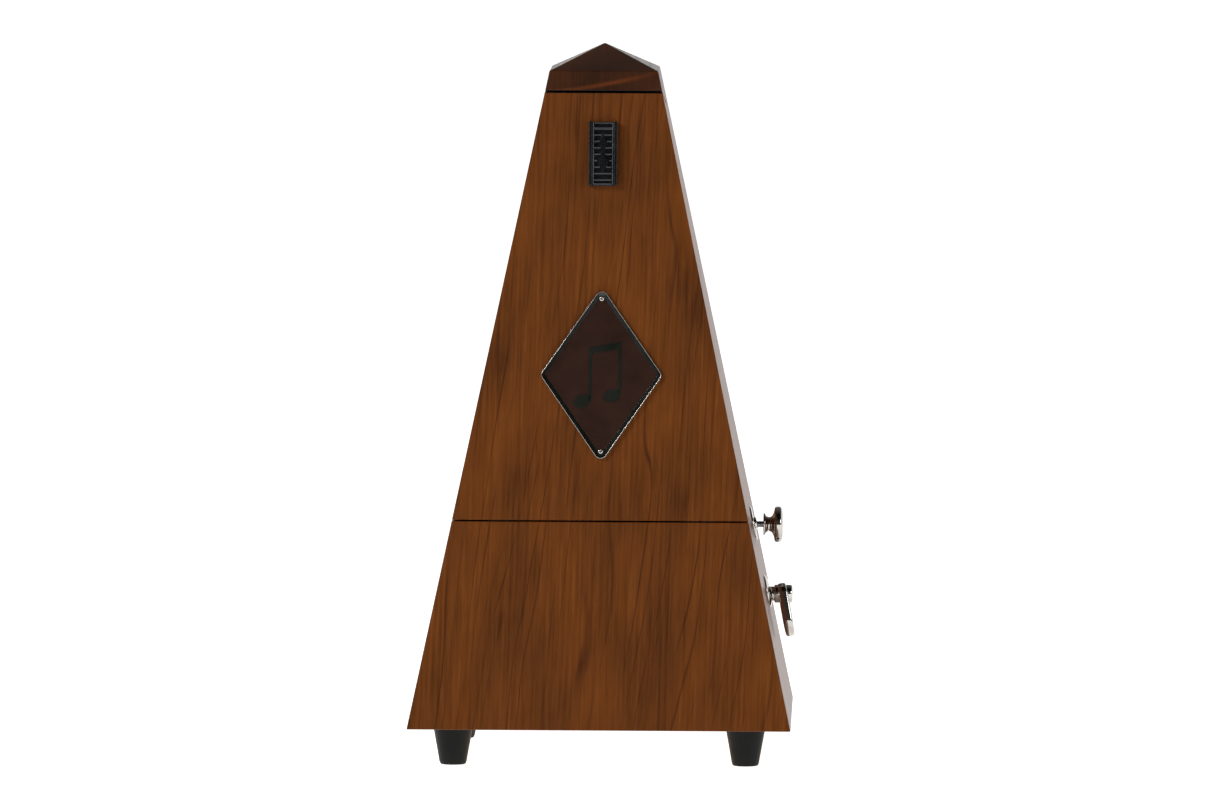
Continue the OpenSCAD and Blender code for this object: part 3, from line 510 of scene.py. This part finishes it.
# outlines at rising insets joined by strips, as (inset, height)
def stackedRings(name, rings, matrix, closeLast):
    verts, faces = [], []
    for inset, height in rings:
        verts += [(x * mm, y * mm, height * mm) for x, y in lozenge(inset)]
    count = len(lozenge(0))
    for i in range(len(rings) - 1):
        faces += [(i * count + k, i * count + (k + 1) % count, (i + 1) * count + (k + 1) % count,
                   (i + 1) * count + k) for k in range(count)]
    if closeLast:
        faces += [list(range(count)), [(len(rings) - 1) * count + k for k in range(count)]]
    else:
        last = (len(rings) - 1) * count
        faces += [(k, (k + 1) % count, last + (k + 1) % count, last + k) for k in range(count)]
    return meshFrom(name, verts, faces, matrix)


plateFrame = faceFrame(plate["height"] * mm)
rim, bevel = plate["rim"], plate["bevel"]
rimMesh = stackedRings("nameplateRim", [(0, 0), (0, 0.85), (0.04, 1.05), (0.11, 1.17), (0.18, 1.2),
                                        (0.24, 1.16), (rim, 1.02), (rim, 0)], plateFrame, False)
finishPiece(asObject("nameplateRim", rimMesh), "door", nickelPlate, ["nameplate"])
bevelMesh = stackedRings("nameplateBevel", [(rim + 0.01, 0.02), (rim + 0.01, 0.96), (rim + 0.07, 1.0),
                                            (bevel - 0.02, 0.72), (bevel, 0.66), (bevel, 0.02)],
                         plateFrame, False)
finishPiece(easeEdges(asObject("nameplateBevel", bevelMesh), 0.03, 2, 20), "door",
            blackEnamel)
middle = stackedRings("nameplateField", [(bevel + 0.01, 0.02), (bevel + 0.01, 0.62)], plateFrame, True)
finishPiece(easeEdges(asObject("nameplateField", middle), 0.03, 2, 20), "door",
            brownEnamel, ["nameplate_field"])

# a plain pair of beamed notes, printed a shade darker than the enamel
motif = {"rise": 16.5, "gap": 9.0, "stem": 1.0, "headWide": 2.7, "headHigh": 1.95, "headTilt": 24,
         "headSide": -1.2, "headDrop": 8, "stemSide": 2.35, "stemDrop": 7.6, "beam": 2.2,
         "slant": 1.8, "level": 0.62, "thick": 0.05}
printLow, printHigh = motif["level"], motif["level"] + motif["thick"]
beamTop, tilt = motif["rise"] - motif["headDrop"], math.radians(motif["headTilt"])
marks = []
for side in (-1, 1):
    middleX, lift = side * motif["gap"] / 2 + motif["headSide"], (side + 1) / 2 * motif["slant"]
    head = []
    for k in range(40):
        a = 2 * math.pi * k / 40
        x, y = motif["headWide"] * math.cos(a), motif["headHigh"] * math.sin(a)
        head.append((middleX + x * math.cos(tilt) - y * math.sin(tilt),
                     lift - motif["headDrop"] + x * math.sin(tilt) + y * math.cos(tilt)))
    marks.append(extruded("head", head, printLow, printHigh, plateFrame))
    stemLeft = middleX + motif["stemSide"] - motif["stem"] / 2
    stemRight = stemLeft + motif["stem"]
    stem = [(stemLeft, lift - motif["stemDrop"]), (stemRight, lift - motif["stemDrop"]),
            (stemRight, lift + beamTop), (stemLeft, lift + beamTop)]
    marks.append(extruded("stem", stem, printLow, printHigh, plateFrame))
leftX, rightX = stemRight - motif["gap"] - motif["stem"], stemRight
beam = [(leftX, beamTop - motif["beam"]), (rightX, beamTop - motif["beam"] + motif["slant"]),
        (rightX, beamTop + motif["slant"]), (leftX, beamTop)]
marks.append(extruded("beam", beam, printLow + 0.005, printHigh + 0.01, plateFrame))
finishPiece(joined("nameplateMotif", marks), "door", printedBlack)

pinHead = [(0.4, -3.0), (0.4, 0.3), (0.78, 0.3), (0.8, 0.62), (0.76, 0.86), (0.62, 1.06), (0.44, 1.14),
           (0.34, 1.1), (0.3, 0.9), (0.26, 0.45), (0.0, 0.4)]
pins = [turned("pin", pinHead, faceFrame((plate["height"] + s * plate["pinReach"]) * mm)
               @ Matrix.Translation((0, 0, plate["pinLift"] * mm)), 32) for s in (-1, 1)]
finishPiece(joined("nameplatePins", pins), "door", nickelPlate, ["nameplate_pins"])
print("nameplate done")

latch = {"height": (184.05 - 74.1) / math.cos(lean), "length": 19.7, "ribs": 9, "pitch": 1.976,
         "firstRib": 7.61, "ribWide": 0.44, "floor": 1.35, "ribTop": 2.3, "slabHalf": 3.13,
         "under": 0.56, "ribReach": 2.66, "endRibs": (9.3, -9.42), "railX": 2.92, "railY": -0.05,
         "railWide": 0.3, "railLong": 19.1,
         "arrow": [(-6.4, 0.0), (-2.2, 1.87), (-0.9, 0.68), (2.0, 0.68), (3.3, 1.3), (6.4, 0.0)]}
latchFrame = faceFrame(latch["height"] * mm)
latchEnd = latch["length"] / 2 - 0.12


# half-width of the double-headed arrow that the ribs stop at
def arrowHalf(y):
    points = latch["arrow"]
    for (low, wideLow), (high, wideHigh) in zip(points, points[1:]):
        if low <= y <= high:
            return wideLow + (wideHigh - wideLow) * (y - low) / (high - low)
    return 0.0


track = easedCopy("latch_frame", "latchTrack", 0.25, 3)
finishPiece(track, "door", blackPlastic, ["latch_frame"])
slabHalf = latch["slabHalf"]
slab = extruded("slab", [(-slabHalf, -latchEnd), (slabHalf, -latchEnd), (slabHalf, latchEnd),
                         (-slabHalf, latchEnd)], latch["under"], latch["floor"], latchFrame)
tips = [(wide - 0.1 if wide else 0, y) for y, wide in latch["arrow"]]
arrow = [(x, y) for x, y in tips] + [(-x, y) for x, y in reversed(tips[1:-1])]
plateau = extruded("plateau", arrow, 1.2, latch["ribTop"] - 0.25, latchFrame)
slider = easeEdges(joined("latchSlider", [slab, plateau]), 0.1)
finishPiece(slider, "latch", blackPlastic, ["latch_slider"])
rows, reach = [], latch["ribReach"]
ribMiddle = (latch["floor"] + latch["ribTop"]) / 2 - 0.1
for i in range(latch["ribs"]):
    y = latch["firstRib"] - i * latch["pitch"]
    opening = arrowHalf(y)
    if opening < 0.3:
        rows.append((0, y, ribMiddle, (2 * reach, 1.6 if i == 0 else 1, 1)))
    else:
        span = reach - opening - 0.05
        rows += [(s * (reach - span / 2), y, ribMiddle, (span, 1, 1)) for s in (-1, 1)]
rows += [(0, y, ribMiddle, (2 * reach, 0.8, 1)) for y in latch["endRibs"]]
rows += [(s * latch["railX"], latch["railY"], ribMiddle,
          (latch["railWide"], latch["railLong"] / latch["ribWide"], 1)) for s in (-1, 1)]
# ribs and rails take the paler plastic, a painted highlight of their lit tops
ribs = barRow("latchRibs", rows, (1.0, latch["ribWide"], latch["ribTop"] - latch["floor"] + 0.2),
              ribHighlightPlastic, latchFrame)
finishPiece(easeEdges(joined("latchRibs", [ribs]), 0.14, 3), "latch", ribHighlightPlastic)
finishPiece(easedCopy("latch_bolt", "latchBolt", 0.15), "latch", groundSteel, ["latch_bolt"])
print("latch done")

knob = {"flange": [(0.95, 49.0), (3.2, 49.0), (3.38, 49.12), (3.4, 49.35), (3.3, 49.58), (3.0, 49.75)],
        "neck": [(3.0, 49.75), (2.5, 50.15), (2.25, 50.7), (2.3, 51.2), (2.75, 51.7), (3.7, 52.12),
                 (4.75, 52.35)],
        "dome": [(4.75, 52.35), (5.2, 52.5), (5.48, 52.85), (5.54, 53.4), (5.5, 54.0), (5.25, 54.5),
                 (4.5, 54.88), (3.1, 55.12), (1.6, 55.26), (0.0, 55.3)]}
knobProfile = [tuple(p) for p in knob["flange"]] \
    + [tuple(p) for p in curveThrough(knob["neck"], 4)][1:] \
    + [tuple(p) for p in curveThrough(knob["dome"], 4)][1:]
knobPiece = turned("bellKnob", knobProfile, alongX(case["sideY"], case["knobHeight"]))
finishPiece(asObject("bellKnob", knobPiece), "bell_pull", nickelPlate, ["pull_knob"])
finishPiece(easedCopy("pull_rod", "pullRod", 0.05), "bell_pull", groundSteel, ["pull_rod"])

rosettes = {"knobAt": 69.9, "keyAt": 49.1,
            "knob": [(1.05, 0.0), (5.2, 0.0), (5.25, 0.2), (5.15, 0.42), (4.95, 0.5), (2.1, 0.5),
                     (1.9, 0.56), (1.85, 0.7), (1.82, 1.15), (1.7, 1.28), (1.5, 1.3), (1.1, 1.3),
                     (1.05, 1.25), (1.05, 0.0)],
            "key": [(2.75, 0.0), (4.95, 0.0), (5.05, 0.12), (4.98, 0.3), (4.6, 0.58), (4.0, 0.84),
                    (3.5, 1.0), (3.0, 1.1), (2.8, 1.08), (2.75, 1.0), (2.75, 0.0)]}
for node, name, part in (("knob_rosette", "knobRosette", "knob"), ("key_rosette", "keyRosette", "key")):
    disc = turned(name, rosettes[part], wallFrame(rosettes[part + "At"] * mm))
    finishPiece(asObject(name, disc), "case", nickelPlate, [node])
print("knob and rosettes done")

key = {"eye": 3.4, "bulge": 5.2, "drop": 8.1, "tilt": math.radians(10.5), "x": 55.2, "crownAt": 5.6,
       "crown": [(1.0, 0.0), (0.995, 0.6), (0.98, 0.95), (0.955, 1.2), (0.91, 1.38), (0.8, 1.5),
                 (0.55, 1.58), (0.28, 1.6)],
       "shaft": [(2.02, 51.0), (2.12, 51.0), (2.2, 51.1), (2.2, 52.3), (2.3, 52.45), (2.6, 52.5),
                 (2.78, 52.62), (2.8, 52.9), (2.8, 57.3), (2.72, 57.7), (2.4, 57.98), (1.9, 58.1),
                 (0.0, 58.1)]}


def paddleOutline(steps=28):
    spread = math.acos((key["eye"] - key["bulge"]) / key["drop"])
    start, line = math.pi / 2 - spread, []
    for k in range(steps + 1):    # round the eye, at the upper end
        a = math.pi / 2 + spread + (2 * math.pi - 2 * spread) * k / steps
        line.append((key["eye"] * math.cos(a), key["eye"] * math.sin(a)))
    for k in range(steps + 1):    # round the wide lower end
        a = start + 2 * spread * k / steps
        line.append((key["bulge"] * math.cos(a), key["drop"] + key["bulge"] * math.sin(a)))
    return line


# rings that close in on the middle, so that both faces are slightly crowned
def domedPaddle(matrix):
    outline, middle = paddleOutline(), Vector((0, key["crownAt"]))
    levels = [(s, -h) for s, h in reversed(key["crown"][1:])] + key["crown"]
    count, verts, faces = len(outline), [], []
    for shrink, height in levels:
        for x, y in outline:
            p = middle + (Vector((x, y)) - middle) * shrink
            verts.append((p.x * mm, p.y * mm, height * mm))
    for i in range(len(levels) - 1):
        faces += [(i * count + k, i * count + (k + 1) % count, (i + 1) * count + (k + 1) % count,
                   (i + 1) * count + k) for k in range(count)]
    faces += [list(range(count)), [(len(levels) - 1) * count + k for k in range(count)]]
    return meshFrom("paddle", verts, faces, matrix)


down = Vector((math.sin(key["tilt"]), 0, -math.cos(key["tilt"])))
paddleFrame = basis((key["x"] * mm, case["sideY"], case["keyHeight"]), (0, 1, 0), down,
                    Vector((0, 1, 0)).cross(down))
keyPiece = joined("windingKey", [turned("shaft", key["shaft"], alongX(case["sideY"], case["keyHeight"])),
                                 domedPaddle(paddleFrame)])
finishPiece(keyPiece, "winding", nickelPlate, ["winding_key"])
print("winding key done")

# grams and millimetres; the weight's own turning inertia is counted in the fixed part, and gravity
# is the share of it that acts along the leaning rod
pendulum = {"pivotDrop": 9.0, "weightMass": 9.551, "fixedMoment": 1037.6, "fixedInertia": 60216.0,
            "gravity": 9600.6, "centreToTop": 6.65, "plateDepth": 17.2}
tempos = [40, 42, 44, 46, 48, 50, 52, 54, 56, 58, 60, 63, 66, 69, 72, 76, 80, 84, 88, 92, 96, 100, 104,
          108, 112, 116, 120, 126, 132, 138, 144, 152, 160, 168, 176, 184, 192, 200, 208]


# where the weight must sit above the pivot for that many beats a minute
def weightPlace(beats):
    k = (math.pi * beats / 60) ** 2 / pendulum["gravity"]
    rest = (pendulum["fixedMoment"] - k * pendulum["fixedInertia"]) / pendulum["weightMass"]
    return (-1 + math.sqrt(1 + 4 * k * rest)) / (2 * k)


scale = {"tickX": 3.9, "tick": (3.4, 0.22, 0.1), "figureX": 6.1, "figureSize": 2.5}
scaleFrame = faceFrame(0) @ Matrix.Translation((0, 0, (0.06 - pendulum["plateDepth"]) * mm))
lines, digits = [], []
for index, beats in enumerate(tempos):
    height = weightPlace(beats) - pendulum["pivotDrop"] + pendulum["centreToTop"]
    side = 1 if index % 2 else -1
    lines.append((side * scale["tickX"], height, -0.02, (1, 1, 1)))
    text = bpy.data.curves.new("figure", "FONT")
    text.body = str(beats)
    text.size = scale["figureSize"] * mm
    text.align_x = "LEFT" if side > 0 else "RIGHT"
    text.align_y = "CENTER"
    holder = asObject("figure", text)
    bpy.context.view_layer.update()
    mesh = bpy.data.meshes.new_from_object(holder.evaluated_get(bpy.context.evaluated_depsgraph_get()))
    bpy.data.objects.remove(holder)
    mesh.transform(scaleFrame @ Matrix.Translation((side * scale["figureX"] * mm, height * mm,
                                                   0.02 * mm)))
    digits.append(mesh)
ticks = barRow("scaleTicks", lines, scale["tick"], printedBlack, scaleFrame)
finishPiece(joined("scaleFigures", digits + [ticks]), "case", printedBlack)
finishPiece(easedCopy("scale_plate", "scalePlate", 0.12), "case", satinAluminium,
            ["scale_plate"])
for node, name, body, slotName, finish, width in (
        ("pendulum_rod", "pendulumRod", "pendulum", "steel", nickelPlate, 0.15),
        ("pendulum_bob", "pendulumBob", "pendulum", "brass", clockBrass, 0.25),
        ("pendulum_hub", "pendulumHub", "pendulum", "brass", clockBrass, 0.3),
        ("tempo_weight", "tempoWeight", "weight", "brass", clockBrass, 0.5),
        ("rod_clip", "rodClip", "case", "bright_metal", nickelPlate, 0.08),
        ("door_tabs", "doorTabs", "door", "steel", groundSteel, 0.2),
        ("left_plate", "leftPlate", "case", "brass", clockBrass, 0.15),
        ("right_plate", "rightPlate", "case", "brass", clockBrass, 0.15),
        ("front_bridge", "frontBridge", "case", "brass", clockBrass, 0.15),
        ("rear_cock", "rearCock", "case", "brass", clockBrass, 0.15),
        ("bell", "bellDome", "case", "bell_metal", nickelPlate, 0.15)):
    finishPiece(easedCopy(node, name, width), body, finish, [node])
print("pendulum, scale and frame done")

finishes = {"bright_metal": nickelPlate, "brass": clockBrass, "steel": groundSteel,
            "bell_metal": nickelPlate, "scale_metal": satinAluminium, "case_wood": walnutVeneer,
            "cap_wood": darkCapWood, "inner_wood": plainSpruce, "foot_rubber": blackRubber,
            "black_plastic": blackPlastic, "dark_lacquer": brownEnamel}
slotOf = {s["node"]: s["material_slot"] for s in frame["record"]["subparts"]}
for name, node in nodes.items():
    if not node.hide_render:
        node.data.materials.clear()
        node.data.materials.append(finishes[slotOf[name]])
print("CAD nodes painted")

camera = {"place": (0.0862, -4.3872, 0.4158), "yaw": -0.0194, "pitch": 0.0704, "roll": 0.0043,
          "lens": 427.06}
yaw, pitch, roll = camera["yaw"], camera["pitch"], camera["roll"]
ahead = Vector((math.sin(yaw) * math.cos(pitch), math.cos(yaw) * math.cos(pitch), -math.sin(pitch)))
sideways = Vector((math.cos(yaw), -math.sin(yaw), 0))
overhead = sideways.cross(ahead)
right = math.cos(roll) * sideways + math.sin(roll) * overhead
upward = -math.sin(roll) * sideways + math.cos(roll) * overhead
lensData = bpy.data.cameras.new("studioCamera")
lensData.lens = camera["lens"]
lensData.sensor_width = 36
lensData.clip_start = 0.1
lensData.clip_end = 60
eye = bpy.data.objects.new("studioCamera", lensData)
bpy.context.scene.collection.objects.link(eye)
eye.matrix_world = basis(camera["place"], right, upward, -ahead)
bpy.context.scene.camera = eye

# matt pale board, just under the feet
studio = {"floorHalf": 40, "floorDrop": 0.00005, "floorGlow": 0.9, "front": 0.05, "back": 1.15,
          "overhead": 0.1}
paleFloor, _, floorShader = newMaterial("paleFloor", Roughness=0.9, Specular_IOR_Level=0.1)
floorShader.inputs["Base Color"].default_value = colour("#f4f4f4")
# lit from inside like a light table, so that shadows under the feet stay faint
floorShader.inputs["Emission Color"].default_value = colour("#ffffff")
floorShader.inputs["Emission Strength"].default_value = studio["floorGlow"]
reachOut = studio["floorHalf"]
corners = [(x, y, -studio["floorDrop"]) for x, y in ((-reachOut, -reachOut), (reachOut, -reachOut),
                                                     (reachOut, reachOut), (-reachOut, reachOut))]
floorPiece = asObject("paleFloor", meshFrom("paleFloor", corners, [(0, 1, 2, 3)]))
floorPiece.data.materials.append(paleFloor)

sky = bpy.data.worlds.new("studio")
bpy.context.scene.world = sky
sky.use_nodes = True
skyTree = sky.node_tree
skyTree.nodes.clear()
where = addNode(skyTree, "ShaderNodeTexCoord")
axes = addNode(skyTree, "ShaderNodeSeparateXYZ", {0: where.outputs["Generated"]})
# bright behind, dark overhead and behind the camera, so that metal has something to show
fade = addNode(skyTree, "ShaderNodeMapRange", {0: axes.outputs["Y"], 1: -0.3, 2: 0.5,
                                                 3: studio["front"], 4: studio["back"]})
ceiling = addNode(skyTree, "ShaderNodeMapRange", {0: axes.outputs["Z"], 1: 0.3, 2: 0.65,
                                                    3: 1.0, 4: studio["overhead"]})
strength = addNode(skyTree, "ShaderNodeMath", {0: fade.outputs[0], 1: ceiling.outputs[0]},
                   operation="MULTIPLY")
glow = addNode(skyTree, "ShaderNodeBackground", {"Color": colour("#ffffff"),
                                                 "Strength": strength.outputs[0]})
addNode(skyTree, "ShaderNodeOutputWorld", {0: glow.outputs[0]})

lamps = {"key": ((-2.4, -1.7, 1.9), 1.4, 74), "fill": ((2.3, -1.5, 0.9), 1.0, 15)}
for name, (spot, size, power) in lamps.items():
    light = bpy.data.lights.new(name, "AREA")
    light.shape = "DISK"
    light.size = size
    light.energy = power
    lamp = bpy.data.objects.new(name, light)
    bpy.context.scene.collection.objects.link(lamp)
    aim = (Vector((0, 0, 0.1)) - Vector(spot)).normalized()
    lamp.matrix_world = Matrix.Translation(spot) @ aim.to_track_quat("-Z", "Y").to_matrix().to_4x4()
bpy.context.scene.view_settings.view_transform = "Standard"
print("camera, floor and light done")
